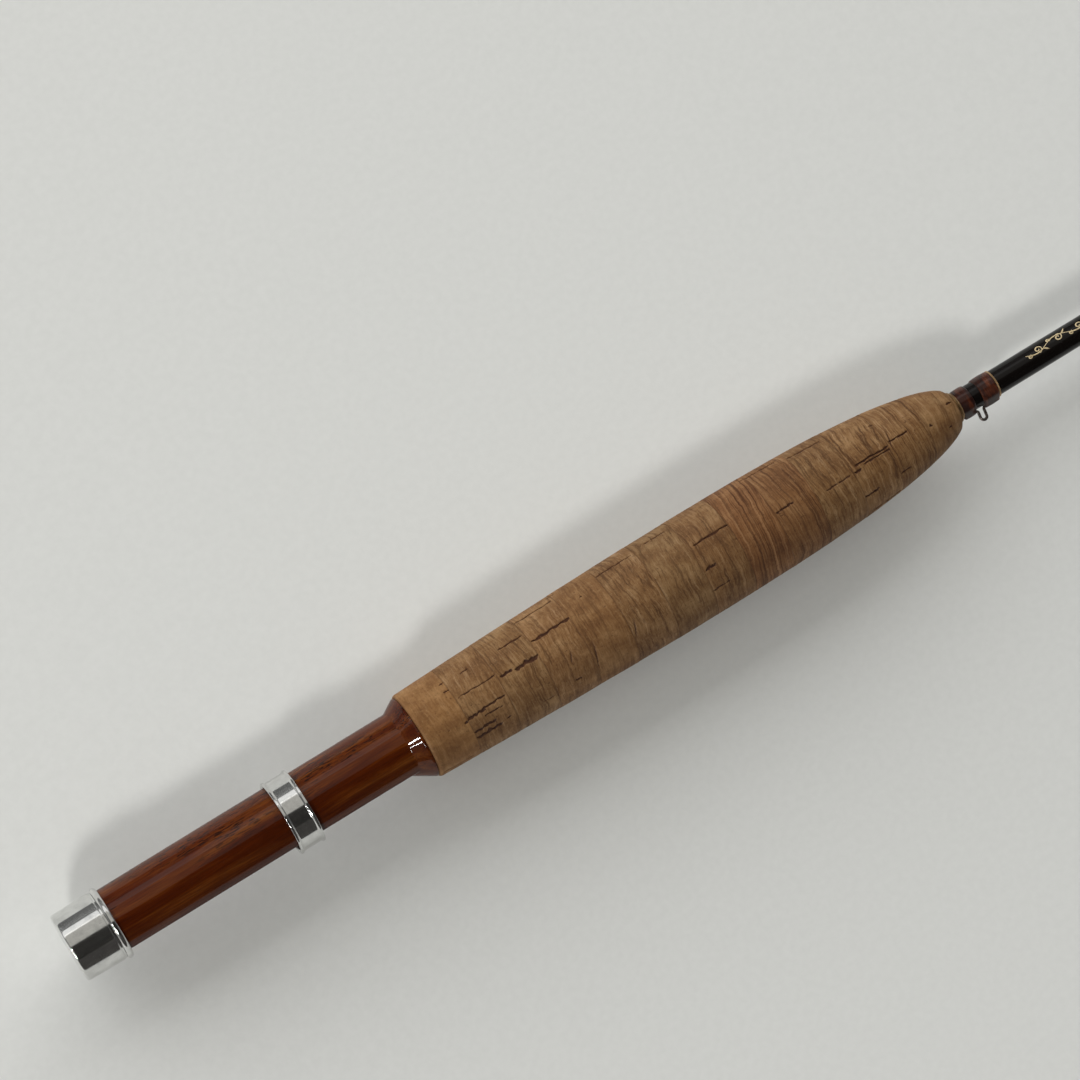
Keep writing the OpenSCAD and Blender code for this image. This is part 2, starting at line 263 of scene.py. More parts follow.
class Maker:
    """A material and short ways to add nodes to it. Coordinates are the row frame's, in metres."""

    def __init__(self, name):
        self.material = bpy.data.materials.new(name)
        self.material.use_nodes = True
        self.tree = self.material.node_tree
        self.shader = self.tree.nodes["Principled BSDF"]
        self.place = self.add("ShaderNodeTexCoord").outputs["Object"]

    def add(self, kind, inputs=None, **settings):
        node = self.tree.nodes.new(kind)
        for key, value in settings.items():
            setattr(node, key, value)
        for key, value in (inputs or {}).items():
            self.put(node.inputs[key], value)
        return node

    def put(self, socket, value):
        if isinstance(value, bpy.types.NodeSocket):
            self.tree.links.new(value, socket)
        else:
            socket.default_value = value

    def set(self, **values):
        """Sets or links the shader's own sockets, whose names are written with underscores."""
        for key, value in values.items():
            self.put(self.shader.inputs[key.replace("_", " ")], value)

    def mapped(self, scale, offset=(0, 0, 0), turned=(0, 0, 0), vector=None):
        inputs = {"Vector": vector or self.place, "Scale": scale, "Location": offset, "Rotation": turned}
        return self.add("ShaderNodeMapping", inputs).outputs[0]

    def noise(self, vector, detail=3, roughness=0.5):
        inputs = {"Vector": vector, "Scale": 1, "Detail": detail, "Roughness": roughness}
        return self.add("ShaderNodeTexNoise", inputs).outputs["Fac"]

    def math(self, operation, a, b=0.0):
        return self.add("ShaderNodeMath", {0: a, 1: b}, operation=operation).outputs[0]

    def times(self, a, b):
        return self.math("MULTIPLY", a, b)

    def plus(self, a, b):
        return self.math("ADD", a, b)

    def span(self, value, low, high, to_low=0.0, to_high=1.0):
        inputs = {"Value": value, "From Min": low, "From Max": high, "To Min": to_low, "To Max": to_high}
        return self.add("ShaderNodeMapRange", inputs).outputs[0]

    def ramp(self, value, stops):
        node = self.add("ShaderNodeValToRGB", {"Fac": value})
        elements = node.color_ramp.elements
        while len(elements) < len(stops):
            elements.new(0.5)
        for element, (position, colour) in zip(elements, stops):
            element.position = position
            element.color = (*colour, 1)
        return node.outputs[0]

    def mix(self, amount, a, b, blend="MIX"):
        a, b = (c if isinstance(c, bpy.types.NodeSocket) else (*c, 1) for c in (a, b))
        node = self.add("ShaderNodeMix", {"Factor": amount, 6: a, 7: b}, data_type="RGBA", blend_type=blend)
        return node.outputs[2]

    def attribute(self, name):
        return self.add("ShaderNodeAttribute", attribute_name=name).outputs["Fac"]

    def bump(self, height, distance, strength=1.0):
        inputs = {"Height": height, "Distance": distance, "Strength": strength}
        return self.add("ShaderNodeBump", inputs).outputs[0]

    def threads(self, pitch):
        """Turns of thread: 0 between two turns and 1 on top of one."""
        bands_at_scale_one = 3.18
        inputs = {"Vector": self.mapped((1, 0, 0)), "Scale": 1 / pitch / bands_at_scale_one}
        turns = self.add("ShaderNodeTexWave", inputs, wave_type="BANDS", bands_direction="X",
                         wave_profile="SIN")
        return turns.outputs["Fac"]


def polished_aluminium():
    m = Maker("polished_aluminium")
    base = (0.77, 0.77, 0.755)
    smear = m.noise(m.mapped((260, 300, 300)), detail=5, roughness=0.65)
    turning = m.noise(m.mapped((9000, 120, 120)), detail=2)
    wear = m.noise(m.mapped((500, 1900, 1900), offset=(2, 0, 1)), roughness=0.7)
    worn = m.mix(m.span(smear, 0.40, 0.70), base, tuple(0.80 * c for c in base))
    m.set(Metallic=1, Base_Color=m.mix(m.span(wear, 0.62, 0.70, 0, 0.5), worn, (0.42, 0.42, 0.40)))
    m.set(Roughness=m.plus(m.span(smear, 0.3, 0.75, 0.05, 0.17), m.span(turning, 0.5, 0.8, 0, 0.07)))
    m.set(Normal=m.bump(m.plus(turning, wear), 0.003 * MM, 0.5))
    return m.material


def seat_wood():
    m = Maker("seat_wood")
    bend = m.noise(m.mapped((14, 90, 90)), detail=2)
    sway = m.add("ShaderNodeCombineXYZ", {"Y": m.times(bend, 3)}).outputs[0]
    grain = m.add("ShaderNodeVectorMath", {0: m.mapped((20, 300, 300)), 1: sway}, operation="ADD").outputs[0]
    figure = m.noise(grain, detail=5, roughness=0.6)
    fibre = m.noise(m.mapped((110, 2600, 2600)), roughness=0.6)
    colour = m.ramp(figure, [(0.28, (0.034, 0.0042, 0.0003)), (0.45, (0.062, 0.0095, 0.0006)),
                             (0.58, (0.105, 0.024, 0.0022)), (0.74, (0.180, 0.058, 0.0090))])
    colour = m.mix(m.span(fibre, 0.38, 0.66, 0, 0.5), colour, (0.030, 0.0045, 0.0005))
    dashes = m.noise(m.mapped((420, 3300, 3300), offset=(3, 1, 2)), detail=2, roughness=0.4)
    patches = m.noise(m.mapped((30, 130, 130), offset=(5, 0, 0)), detail=1)
    pores = m.times(m.span(dashes, 0.54, 0.60), m.span(patches, 0.36, 0.50))
    # Painted light: the pores are painted strong on the far side, which the window lights, and faint towards
    # the camera and the guides, where the wood shows darker.
    window_lit_side = m.add("ShaderNodeSeparateXYZ", {0: m.place}).outputs[1]
    pores = m.times(pores, m.span(window_lit_side, -1 * MM, 4 * MM, 0.2, 1.0))
    colour = m.mix(m.times(pores, 0.9), colour, (0.008, 0.0014, 0.0005))
    m.set(Base_Color=colour, Roughness=0.5, Specular_IOR_Level=0.02)
    m.set(Coat_Weight=0.55, Coat_Roughness=0.055, Coat_IOR=1.5)
    m.set(Normal=m.bump(m.math("SUBTRACT", m.times(fibre, 0.3), pores), 0.03 * MM, 0.7))
    ripple = m.noise(m.mapped((60, 320, 320)), detail=2)
    sunk = m.math("SUBTRACT", ripple, m.times(pores, 0.25))
    m.set(Coat_Normal=m.bump(sunk, 0.03 * MM, 0.4))
    return m.material


def raw_cork(name, seed, tint, lines, lean, reach):
    """tint multiplies the colour, lines is the growth lines' strength, lean their slope, and reach
    how far one runs round the ring before it fades, in mm."""
    m = Maker(name)
    offset = (seed * 1.7 % 5, seed * 3.1 % 7, seed * 0.9 % 3)
    wave = m.noise(m.mapped((50, 80, 80), offset=offset), detail=2)
    jitter = m.noise(m.mapped((420, 520, 520), offset=offset), detail=4, roughness=0.7)
    parts = m.add("ShaderNodeSeparateXYZ", {0: m.mapped((1, 1, 1), turned=(0, lean * 0.5, lean))})
    along = m.plus(parts.outputs[0], m.times(wave, 3.0 * MM))
    along = m.plus(along, m.times(jitter, 0.8 * MM))
    around = 1000 / reach
    layers = m.add("ShaderNodeCombineXYZ", {"X": m.times(along, 1250),
                                            "Y": m.times(parts.outputs[1], around),
                                            "Z": m.times(parts.outputs[2], around)}).outputs[0]
    growth = m.noise(layers, detail=4, roughness=0.62)
    fine = m.noise(m.mapped((2.7, 4.5, 4.5), vector=layers), roughness=0.65)
    blotch = m.noise(m.mapped((120, 190, 190), offset=offset), detail=4, roughness=0.6)
    grit = m.noise(m.mapped((1500, 1500, 1500), offset=offset), detail=4, roughness=0.75)
    body = m.ramp(blotch, [(0.30, (0.160, 0.072, 0.024)), (0.5, (0.232, 0.115, 0.042)),
                           (0.70, (0.335, 0.190, 0.083))])
    body = m.mix(m.times(m.span(growth, 0.49, 0.36), lines), body, (0.084, 0.034, 0.0105))
    body = m.mix(m.times(m.span(growth, 0.55, 0.70), 0.75 * lines), body, (0.460, 0.290, 0.150))
    body = m.mix(m.times(m.span(fine, 0.47, 0.34), 0.7 * lines), body, (0.105, 0.046, 0.0145))
    body = m.mix(m.times(m.span(fine, 0.55, 0.68), 0.45 * lines), body, (0.430, 0.265, 0.130))
    body = m.mix(m.span(grit, 0.44, 0.30, 0, 0.75), body, (0.080, 0.033, 0.011))
    body = m.mix(m.span(grit, 0.58, 0.74, 0, 0.5), body, (0.420, 0.275, 0.140))
    body = m.mix(1.0, body, tuple(0.76 * c for c in tint), "MULTIPLY")
    body = m.mix(m.times(m.attribute("seam"), 0.5), body, (0.085, 0.034, 0.011))
    hole = m.mix(m.span(grit, 0.4, 0.65), (0.034, 0.0095, 0.0028), (0.080, 0.030, 0.011))
    body = m.mix(m.span(m.attribute("pore"), 0.10, 0.60), body, hole)
    m.set(Base_Color=body, Roughness=m.span(growth, 0.3, 0.7, 0.75, 0.58), Specular_IOR_Level=0.3)
    height = m.plus(m.times(growth, 0.8), m.times(grit, 0.6))
    m.set(Normal=m.bump(height, 0.08 * MM, 0.6))
    return m.material


def black_gloss():
    m = Maker("black_blank")
    base = (0.0040, 0.0030, 0.0026)
    peel = m.noise(m.mapped((260, 700, 700)), detail=2)
    dust = m.noise(m.mapped((1500, 1500, 1500)), detail=4, roughness=0.7)
    m.set(Base_Color=m.mix(m.span(dust, 0.66, 0.8, 0, 0.5), base, (0.04, 0.036, 0.032)))
    m.set(Roughness=m.span(dust, 0.4, 0.8, 0.13, 0.3), Specular_IOR_Level=0.24)
    m.set(Normal=m.bump(peel, 0.02 * MM, 0.35))
    return m.material


def sanded_graphite():
    m = Maker("raw_graphite")
    scratches = m.noise(m.mapped((5200, 180, 180)), detail=4, roughness=0.65)
    weave = m.noise(m.mapped((90, 900, 900)))
    colour = m.ramp(m.plus(m.times(scratches, 0.6), m.times(weave, 0.4)),
                    [(0.3, (0.018, 0.018, 0.020)), (0.7, (0.075, 0.075, 0.080))])
    m.set(Base_Color=colour, Roughness=m.span(scratches, 0.3, 0.7, 0.38, 0.6))
    m.set(Normal=m.bump(scratches, 0.01 * MM, 0.6))
    return m.material


def varnished_thread(name, dark, light, painted_glow, metallic=0.0, pitch=0.2 * MM):
    """Turns of thread under a clear, smooth varnish, with a painted sheen of light put into the colour in
    blotches, and darker blotches beside them.
    """
    m = Maker(name)
    turns = m.threads(pitch)
    strand = m.noise(m.mapped((5200, 420, 420)), roughness=0.6)
    sheen_blotch = m.noise(m.mapped((700, 190, 190)), detail=2)
    amount = m.plus(m.times(turns, 0.45), m.times(strand, 0.55))
    colour = m.ramp(amount, [(0.2, dark), (0.75, light)])
    # Painted highlight: a lighter, warmer colour is painted where the sheen noise is high. The next line
    # pulls the colour towards dark where that noise is low.
    colour = m.mix(m.span(sheen_blotch, 0.50, 0.70, 0, 0.8), colour, m.mix(m.span(amount, 0.3, 0.6), light, painted_glow))
    m.set(Base_Color=m.mix(m.span(sheen_blotch, 0.48, 0.36, 0, 0.6), colour, dark), Metallic=metallic)
    m.set(Roughness=m.span(strand, 0.3, 0.7, 0.35, 0.5), Specular_IOR_Level=0.1)
    m.set(Coat_Weight=0.6, Coat_Roughness=0.04, Coat_IOR=1.5)
    m.set(Normal=m.bump(turns, 0.05 * MM, 0.7))
    m.set(Coat_Normal=m.bump(m.noise(m.mapped((240, 240, 240)), detail=1), 0.05 * MM, 0.3))
    return m.material


def wire_metal(name, base, roughness):
    m = Maker(name)
    drawn = m.noise(m.mapped((900, 900, 900)), detail=4, roughness=0.65)
    m.set(Metallic=1, Base_Color=m.mix(m.span(drawn, 0.35, 0.7), base, tuple(0.72 * c for c in base)))
    m.set(Roughness=m.span(drawn, 0.3, 0.75, roughness, roughness + 0.14))
    m.set(Normal=m.bump(drawn, 0.01 * MM, 0.4))
    return m.material


def ring_ceramic():
    m = Maker("ring_ceramic")
    cloud = m.noise(m.mapped((700, 700, 700)))
    m.set(Base_Color=m.ramp(cloud, [(0.3, (0.014, 0.016, 0.020)), (0.7, (0.036, 0.040, 0.046))]))
    m.set(Roughness=m.span(cloud, 0.3, 0.7, 0.07, 0.16), Coat_Weight=0.5, Coat_Roughness=0.04)
    return m.material


def scroll_gold():
    m = Maker("scroll_gold")
    leaf = m.noise(m.mapped((1900, 1900, 1900)), detail=4, roughness=0.65)
    m.set(Metallic=0.45, Base_Color=m.ramp(leaf, [(0.3, (0.42, 0.31, 0.16)), (0.68, (0.82, 0.68, 0.43))]))
    m.set(Roughness=m.span(leaf, 0.3, 0.7, 0.28, 0.5), Normal=m.bump(leaf, 0.01 * MM, 0.5))
    return m.material


def arbor_cork():
    m = Maker("arbor_cork")
    grain = m.noise(m.mapped((500, 500, 500)), detail=5, roughness=0.65)
    m.set(Base_Color=m.ramp(grain, [(0.3, (0.20, 0.11, 0.055)), (0.65, (0.45, 0.29, 0.165))]), Roughness=0.8)
    m.set(Normal=m.bump(grain, 0.1 * MM, 0.5))
    return m.material


LOOKS = {
    "polished_aluminium": polished_aluminium(),
    "seat_wood": seat_wood(),
    "black_blank": black_gloss(),
    "raw_graphite": sanded_graphite(),
    "thread_brown": varnished_thread("thread_brown", (0.006, 0.0012, 0.0006), (0.042, 0.0075, 0.0022),
                                     (0.190, 0.044, 0.010)),
    "thread_gold": varnished_thread("thread_gold", (0.16, 0.085, 0.03), (0.60, 0.40, 0.21),
                                    (0.80, 0.56, 0.33), metallic=0.6, pitch=0.15 * MM),
    "brass_check": wire_metal("brass_check", (0.36, 0.22, 0.10), 0.28),
    "dark_wire": wire_metal("dark_wire", (0.16, 0.135, 0.12), 0.20),
    "guide_wire": wire_metal("guide_wire", (0.62, 0.61, 0.60), 0.10),
    "ring_ceramic": ring_ceramic(),
}


# ---- reel seat ----

def make_butt_cap():
    """A cup with a groove and a bead at its mouth. The reel foot's rear end goes into the cup."""
    node = "butt_cap"
    x0, x1 = ends_of(node)
    mouth = outer_radius(node, x1 - 0.9 * MM)
    wall = mouth - 0.72 * MM
    bead = 0.9 * MM
    neck = x1 - 2 * bead
    outline = [(x0, 0), (x0 + 0.04 * MM, 6.9 * MM, 0.3 * MM), (x0, 7.2 * MM, 0.3 * MM),
               (x0, wall - 0.1 * MM, 0.5 * MM), (x0 + 0.7 * MM, wall + 0.12 * MM, 0.4 * MM),
               (neck - 0.75 * MM, mouth - 0.42 * MM, 0.2 * MM),
               (neck - 0.5 * MM, mouth - 0.62 * MM, 0.1 * MM), (neck, mouth - 0.62 * MM, 0.06 * MM)]
    outline += [(x1 - bead + bead * math.sin(a), mouth - bead + bead * math.cos(a), 0)
                for a in np.radians(np.arange(-90, 91, 10))]
    outline += [(x1 - 0.02 * MM, wall - 0.30 * MM, 0.08 * MM), (x1 - 0.5 * MM, wall - 0.43 * MM, 0.2 * MM),
                (x0 + 0.9 * MM, wall - 0.43 * MM, 0.4 * MM), (x0 + 0.9 * MM, 0)]
    piece = turn("butt_cap_turned", rounded(outline, 0.1 * MM), 160)
    finish_piece(piece, BUTT, [node], "polished_aluminium")


def make_slide_band():
    """A ring with a raised, rounded lip at each edge and a flat recess between them."""
    node = "slide_band"
    x0, x1 = ends_of(node)
    points = node_points(node)
    bore = radii(points).min()
    lip = outer_radius(node, x0 + 0.3 * MM)
    land = outer_radius(node, (x0 + x1) / 2)
    half = [(0, bore + 0.25 * MM, 0.1 * MM), (0, lip - 0.06 * MM, 0.22 * MM), (0.62 * MM, lip, 0.28 * MM),
            (1.02 * MM, land + 0.02 * MM, 0.2 * MM), (1.5 * MM, land, 0.3 * MM)]
    outline = [(x0 + p[0], *p[1:]) for p in half] + [(x1 - p[0], *p[1:]) for p in reversed(half)]
    outline += [(x1 - 0.45 * MM, bore, 0.2 * MM), (x0 + 0.45 * MM, bore, 0.2 * MM)]
    piece = turn("slide_band_turned", rounded(outline, 0.1 * MM, steps=6), 192)
    finish_piece(piece, "band", [node], "polished_aluminium")


def seat_sections():
    """The barrel's measures, from its CAD node: its ends, its radius at the rear, the flat's
    distance from the axis, where the flare ends, and the rim's radius."""
    points = node_points("seat_barrel")
    r = radii(points)
    x0, x1 = ends_of("seat_barrel")
    back = points[:, 0] < x0 + MM
    flat = towards(GUIDE, points)[back].max()
    rear_r = r[back].max()
    flare = (points[:, 0] > x0 + 20 * MM) & (r > 11.3 * MM)
    return x0, x1, rear_r, flat, points[flare, 0].min(), r.max()


def make_seat_barrel():
    """A varnished wooden barrel. A flat for the reel's foot runs along the guide side as far as
    the flare, which meets the cork."""
    x0, x1, rear_r, flat, flare_end, rim_r = seat_sections()
    front_r = rear_r + 0.25 * MM
    flare_run = 5.6 * MM
    flare_start = flare_end - flare_run
    fine_from = flare_start - MM
    x = np.concatenate([np.arange(x0, fine_from, 1.6 * MM), np.arange(fine_from, x1, 0.16 * MM)])
    edge = math.acos(flat / rear_r)
    beside = np.linspace(0.13, 0.3, 4)
    near_edge = np.concatenate([np.linspace(-0.1, 0.1, 15), beside, -beside])
    angles = np.concatenate([full_turn(150), edge + near_edge, 2 * math.pi - edge + near_edge])
    angles = np.unique(angles % (2 * math.pi))
    x, a = x[:, None], angles[None, :]
    barrel = rear_r + (front_r - rear_r) * (x - x0) / (x1 - x0) + 0 * a
    flat_at = np.where(np.cos(a) > 0.2, flat / np.maximum(np.cos(a), 0.2), 1)
    barrel = soft_min(barrel, flat_at + 0 * x, 0.10 * MM)
    flare = flat - 0.05 * MM + (rim_r - 0.1 * MM - flat + 0.05 * MM) * (x - flare_start) / flare_run
    flare = np.minimum(flare, rim_r - 0.06 * MM) + 0 * a
    outside = -soft_min(-barrel, -flare, 0.16 * MM)
    wobble = 0.015 * MM * np.sin(3 * a + x / (9 * MM)) * np.sin(x / (6 * MM))
    rows = on_rod(x, a, outside + wobble)
    bore = 5 * MM
    lip = on_rod(np.array([[x1]]), a, outside[-1:] - 0.12 * MM)
    inner = [on_rod(np.array([[end]]), a, bore + 0 * a) for end in (x1, x0)]
    rear = on_rod(np.array([[x0]]), a, outside[:1] - 0.2 * MM)
    rows = np.concatenate([rear, rows[1:], lip, *inner])
    finish_piece(skin("seat_barrel_turned", rows), BUTT, ["seat_barrel"], "seat_wood")


def soft_min(a, b, k):
    """The smaller of a and b, with a rounded change from one to the other over about k."""
    h = np.clip(0.5 + 0.5 * (b - a) / k, 0, 1)
    return b * (1 - h) + a * h - k * h * (1 - h)


# ---- cork grip ----

CORKS = sorted(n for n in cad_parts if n.startswith("cork_ring_"))

# The long dark pores that face the camera: ring, start and end as shares of the ring's length,
# angle in degrees, width in mm and how dark it is.
MAIN_PORES = [
    (1, 0.88, 1.0, 131, 0.5, 0.8), (1, 0.86, 1.0, 118, 0.5, 0.8), (1, 0.9, 1.0, 73, 0.6, 1),
    (2, 0.0, 0.44, 75, 0.8, 1), (2, 0.34, 0.95, 77, 0.5, 0.9), (2, 0.35, 0.8, 68, 0.35, 0.8),
    (2, 0.0, 0.55, 56, 0.75, 1), (2, 0.0, 0.64, 47, 1.0, 1), (2, 0.05, 1.0, 103, 0.3, 0.75),
    (2, 0.38, 0.6, 129, 0.45, 0.8), (2, 0.75, 0.88, 50, 0.5, 0.8),
    (3, 0.36, 0.94, 128, 0.55, 0.9), (3, 0.05, 0.38, 98, 0.75, 1), (3, 0.42, 1.0, 96, 1.15, 1),
    (3, 0.62, 0.92, 43, 0.4, 0.5),
    (4, 0.0, 0.95, 151, 0.6, 0.9), (4, 0.04, 1.0, 114, 0.75, 1), (4, 0.45, 0.62, 46, 0.6, 0.9),
    (4, 0.9, 1.0, 163, 0.7, 0.8), (5, 0.45, 0.5, 130, 0.9, 1), (5, 0.0, 0.1, 163, 0.6, 0.8),
    (6, 0.0, 0.92, 143, 0.5, 0.85), (7, 0.3, 0.9, 148, 0.45, 0.75), (7, 0.3, 0.4, 148, 0.8, 1),
    (8, 0.12, 1.0, 110, 0.6, 1), (8, 0.06, 0.32, 80, 0.85, 1), (8, 0.0, 0.45, 55, 0.5, 0.6),
    (8, 0.97, 1.0, 91, 0.7, 0.9), (9, 0.86, 1.0, 158, 0.5, 0.8), (10, 0.0, 0.8, 157, 0.6, 0.85),
    (10, 0.04, 0.5, 93, 0.5, 0.95), (11, 0.0, 0.85, 148, 0.6, 0.9), (11, 0.25, 0.9, 85, 0.4, 0.7),
    (12, 0.02, 0.2, 85, 0.7, 1), (12, 0.1, 1.0, 92, 0.5, 1), (12, 0.3, 1.0, 88, 0.4, 0.9),
    (12, 0.0, 0.4, 51, 0.6, 1), (13, 0.06, 0.58, 96, 0.45, 0.95), (13, 0.0, 0.28, 49, 0.55, 0.8),
    (14, 0.07, 0.16, 84, 0.7, 1), (14, 0.72, 0.86, 105, 0.8, 1), (14, 0.5, 0.6, 60, 0.6, 0.8),
    (12, 0.9, 1.0, 129, 0.5, 0.7),
]
# Cracks that run round the rod: ring, share of the length, first and last angle in degrees
CRACKS = [(4, 0.58, 66, 84), (6, 0.10, 52, 78), (13, 0.1, 80, 118), (5, 0.08, 40, 80)]
# Each ring's tint, growth line strength, line slope and line reach in mm
CORK_LOOKS = [
    ((1.20, 1.14, 1.00), 0.30, 0.02, 9),
    ((1.05, 1.04, 1.00), 0.60, 0.05, 9),
    ((1.00, 1.00, 0.96), 0.75, -0.06, 12),
    ((1.08, 1.06, 1.02), 0.70, 0.04, 9),
    ((1.04, 1.00, 0.92), 0.50, 0.02, 14),
    ((1.00, 1.00, 0.98), 0.80, -0.05, 9),
    ((0.92, 0.94, 0.92), 0.65, 0.03, 10),
    ((0.94, 0.92, 0.88), 0.75, 0.02, 14),
    ((0.90, 0.76, 0.66), 1.00, 0.10, 45),
    ((0.92, 0.82, 0.74), 0.90, -0.08, 30),
    ((0.96, 0.96, 0.92), 0.80, -0.04, 11),
    ((1.04, 1.03, 0.98), 0.90, 0.05, 12),
    ((0.98, 0.95, 0.88), 0.95, -0.06, 20),
    ((1.06, 1.06, 1.02), 0.60, 0.03, 14),
]


def waves(t, rates, least, most, rng):
    return sum(rng.uniform(least, most) * np.sin(2 * math.pi * (f * t + rng.random())) for f in rates)


def carve(pore, x, a, radius, start, end, angle, width, amount, rng):
    """Adds a pore that runs from start to end along the rod. x, a and the result are grids."""
    length = end - start
    t = (x - start) / length
    wander = width * waves(t, (0.7, 1.9, 3.7), 0.1, 0.45, rng)
    ragged = 0.78 + waves(t, (1.3, 2.9, 4.6), 0.08, 0.2, rng)
    ends = np.clip(np.minimum(t, 1 - t) * length / (0.9 * width) + 0.25, 0, 1)
    half = 0.62 * width * ragged * ends
    across = ((a - angle + math.pi) % (2 * math.pi) - math.pi) * radius - 0.4 * wander
    inside = (t > -0.02) & (t < 1.02)
    shape = np.where(inside, np.clip(1.3 - 1.1 * (across / np.maximum(half, 1e-6)) ** 2, 0, 1), 0)
    np.maximum(pore, amount * shape, out=pore)


def cork_pores(ring, x, a, x0, length, radius):
    """How deep into a pore each point of the ring's outside is, from 0 to 1."""
    rng = random.Random(700 + ring)
    pore = np.zeros(np.broadcast(x, a).shape)

    def cut(start, end, angle, width, amount):
        carve(pore, x, a, radius, x0 + start * length, x0 + end * length, angle, width, amount, rng)

    for _, start, end, angle, width, amount in (p for p in MAIN_PORES if p[0] == ring):
        cut(start, end, math.radians(angle), width * MM, amount)
    for _, share, first, last in (c for c in CRACKS if c[0] == ring):
        middle, reach = math.radians((first + last) / 2), math.radians(last - first) / 2
        bend = x0 + length * share + 0.5 * MM * np.sin((a - middle) / reach * 2)
        near = np.clip(1 - ((x - bend) / (0.22 * MM)) ** 2, 0, 1)
        near = near * np.clip(1.3 - np.abs(a - middle) / reach, 0, 1)
        np.maximum(pore, 0.75 * near, out=pore)
    for _ in range(rng.randint(3, 6)):
        start = rng.uniform(0, 0.6)
        end = min(1, start + rng.uniform(0.15, 0.9))
        angle = math.radians(rng.uniform(185, 378))
        cut(start, end, angle, rng.uniform(0.4, 0.9) * MM, rng.uniform(0.75, 1))
    for _ in range(34):
        start, angle = rng.uniform(0.02, 0.95), rng.uniform(0, 2 * math.pi)
        end = start + rng.uniform(0.02, 0.07)
        cut(start, end, angle, rng.uniform(0.15, 0.4) * MM, rng.uniform(0.2, 0.55))
    return pore


def make_cork_ring(index, node):
    """One ring of the grip. Its pores and the glue lines at its ends are cut into the surface."""
    ring = index + 1
    x0, x1 = ends_of(node)
    length = x1 - x0
    inset = 0.02 * MM
    x = np.linspace(x0 + inset, x1 - inset, 49)
    angles = full_turn(400)
    profile = outer_radius(node, x)
    if index == 0:
        easing = 1.2 * MM
        back = x < x0 + easing
        profile[back] = outer_radius(node, x0 + 1.3 * MM) - 0.5 * MM * (1 - (x[back] - x0) / easing) ** 3
    x, a = x[:, None], angles[None, :]
    radius = profile[:, None] + 0 * a
    pore = cork_pores(ring, x, a, x0, length, profile.mean())
    from_end = np.minimum(x - x0, x1 - x)
    seam = np.clip(1 - from_end / (0.2 * MM), 0, 1) + 0 * a
    rng = random.Random(ring)
    phases = [rng.uniform(0, 6.28) for _ in range(6)]
    uneven = sum(0.018 * MM * np.sin(k * a + (x - x0) / ((2.5 + k) * MM) + phases[k - 2])
                 for k in (2, 3, 5, 7))
    depth = 0.05 * MM + 0.36 * MM * pore ** 1.4 + 0.05 * MM * seam
    bore = blank_r(x0) + 0.02 * MM
    inner = [on_rod(end, a, bore + 0 * a) for end in (x[:1], x[-1:])]
    outside = on_rod(x, a, radius + uneven - depth)
    piece = skin(node + "_turned", np.concatenate([inner[0], outside, inner[1]]), sharp_angle=60)
    edge = np.zeros(len(angles))
    for name, values in (("pore", pore), ("seam", seam)):
        layer = piece.data.attributes.new(name, "FLOAT", "POINT")
        layer.data.foreach_set("value", np.concatenate([edge, values.ravel(), edge]).astype(np.float32))
    tint, lines, lean, reach = CORK_LOOKS[index]
    finish_piece(piece, BUTT, [node], "cork", raw_cork(node, ring, tint, lines, lean, reach))


# ---- blanks ----

def make_blank(node, body, wall):
    """A long tapered tube with a softly rounded rim at each end."""
    x0, x1 = ends_of(node)
    stations = np.linspace(x0, x1, 40)
    rear, front = blank_r(x0), blank_r(x1)
    outline = [(x, blank_r(x), 0) for x in stations[1:-1]]
    outline = [(x0, rear, 0.1 * MM)] + outline + [(x1, front, 0.1 * MM)]
    outline += [(x1, front - wall[1], 0.08 * MM), (x0, rear - wall[0], 0.08 * MM)]
    piece = turn(node + "_tube", rounded(outline, 0, steps=3), 64)
    finish_piece(piece, body, [node], "black_blank")


def make_clear_coat():
    """Thick varnish over the decorated stretch, with soft ends."""
    node = "clear_coat"
    x0, x1 = ends_of(node)
    proud = outer_radius(node, (x0 + x1) / 2) - blank_r((x0 + x1) / 2)
    shares = np.concatenate([np.linspace(0, 0.04, 9), np.linspace(0.1, 0.9, 20), np.linspace(0.96, 1, 9)])
    outline = [(x, blank_r(x) + proud * ease(min(share, 1 - share) / 0.04))
               for x, share in zip(x0 + shares * (x1 - x0), shares)]
    outline += [(x1 - 0.05 * MM, blank_r(x1) - 0.02 * MM), (x0 + 0.05 * MM, blank_r(x0) - 0.02 * MM)]
    finish_piece(turn(node + "_sleeve", outline, 96), BUTT, [node], "black_blank")
    return x0, x1, proud


def ease(t):
    t = np.clip(t, 0, 1)
    return t * t * (3 - 2 * t)


